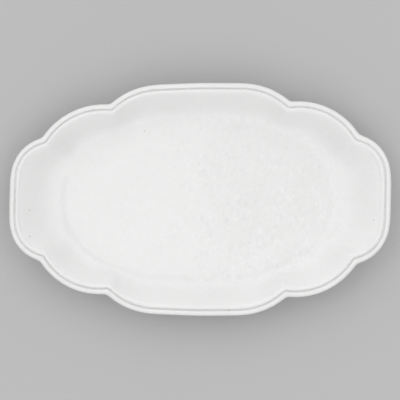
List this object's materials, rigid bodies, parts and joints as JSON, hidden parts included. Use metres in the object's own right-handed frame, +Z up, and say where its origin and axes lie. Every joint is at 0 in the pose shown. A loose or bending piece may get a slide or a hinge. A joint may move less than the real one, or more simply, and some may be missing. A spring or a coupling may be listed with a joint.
{
  "type": "lobed serving platter",
  "caption": "Oblong white-glazed china serving platter with a lobed, notched rim, a rounded edge with a groove and ridge inside it, and a low foot ring.",
  "frame": {"origin": "middle of the platter in plan, on the plane that the foot ring rests on", "axes": "+X along the platter towards its slightly wider end, +Y across it, +Z up out of the well"},
  "size_m": [0.4002, 0.2437, 0.036],
  "materials": {
    "slab_clay": "fired clay body, dull, wholly covered by glaze",
    "roll_clay": "fired clay body, dull, wholly covered by glaze",
    "foot_clay": "fired clay body, bare and dull on the resting edge",
    "face_glaze": "thick milky white gloss glaze",
    "back_glaze": "thinner white gloss glaze",
    "base_glaze": "thinner white gloss glaze"
  },
  "bodies": {
    "root": {"pressed_slab": "slab_clay", "edge_roll": "roll_clay", "foot_ring": "foot_clay", "face_glaze": "face_glaze", "back_glaze": "back_glaze", "base_glaze": "base_glaze"}
  },
  "joints": []
}
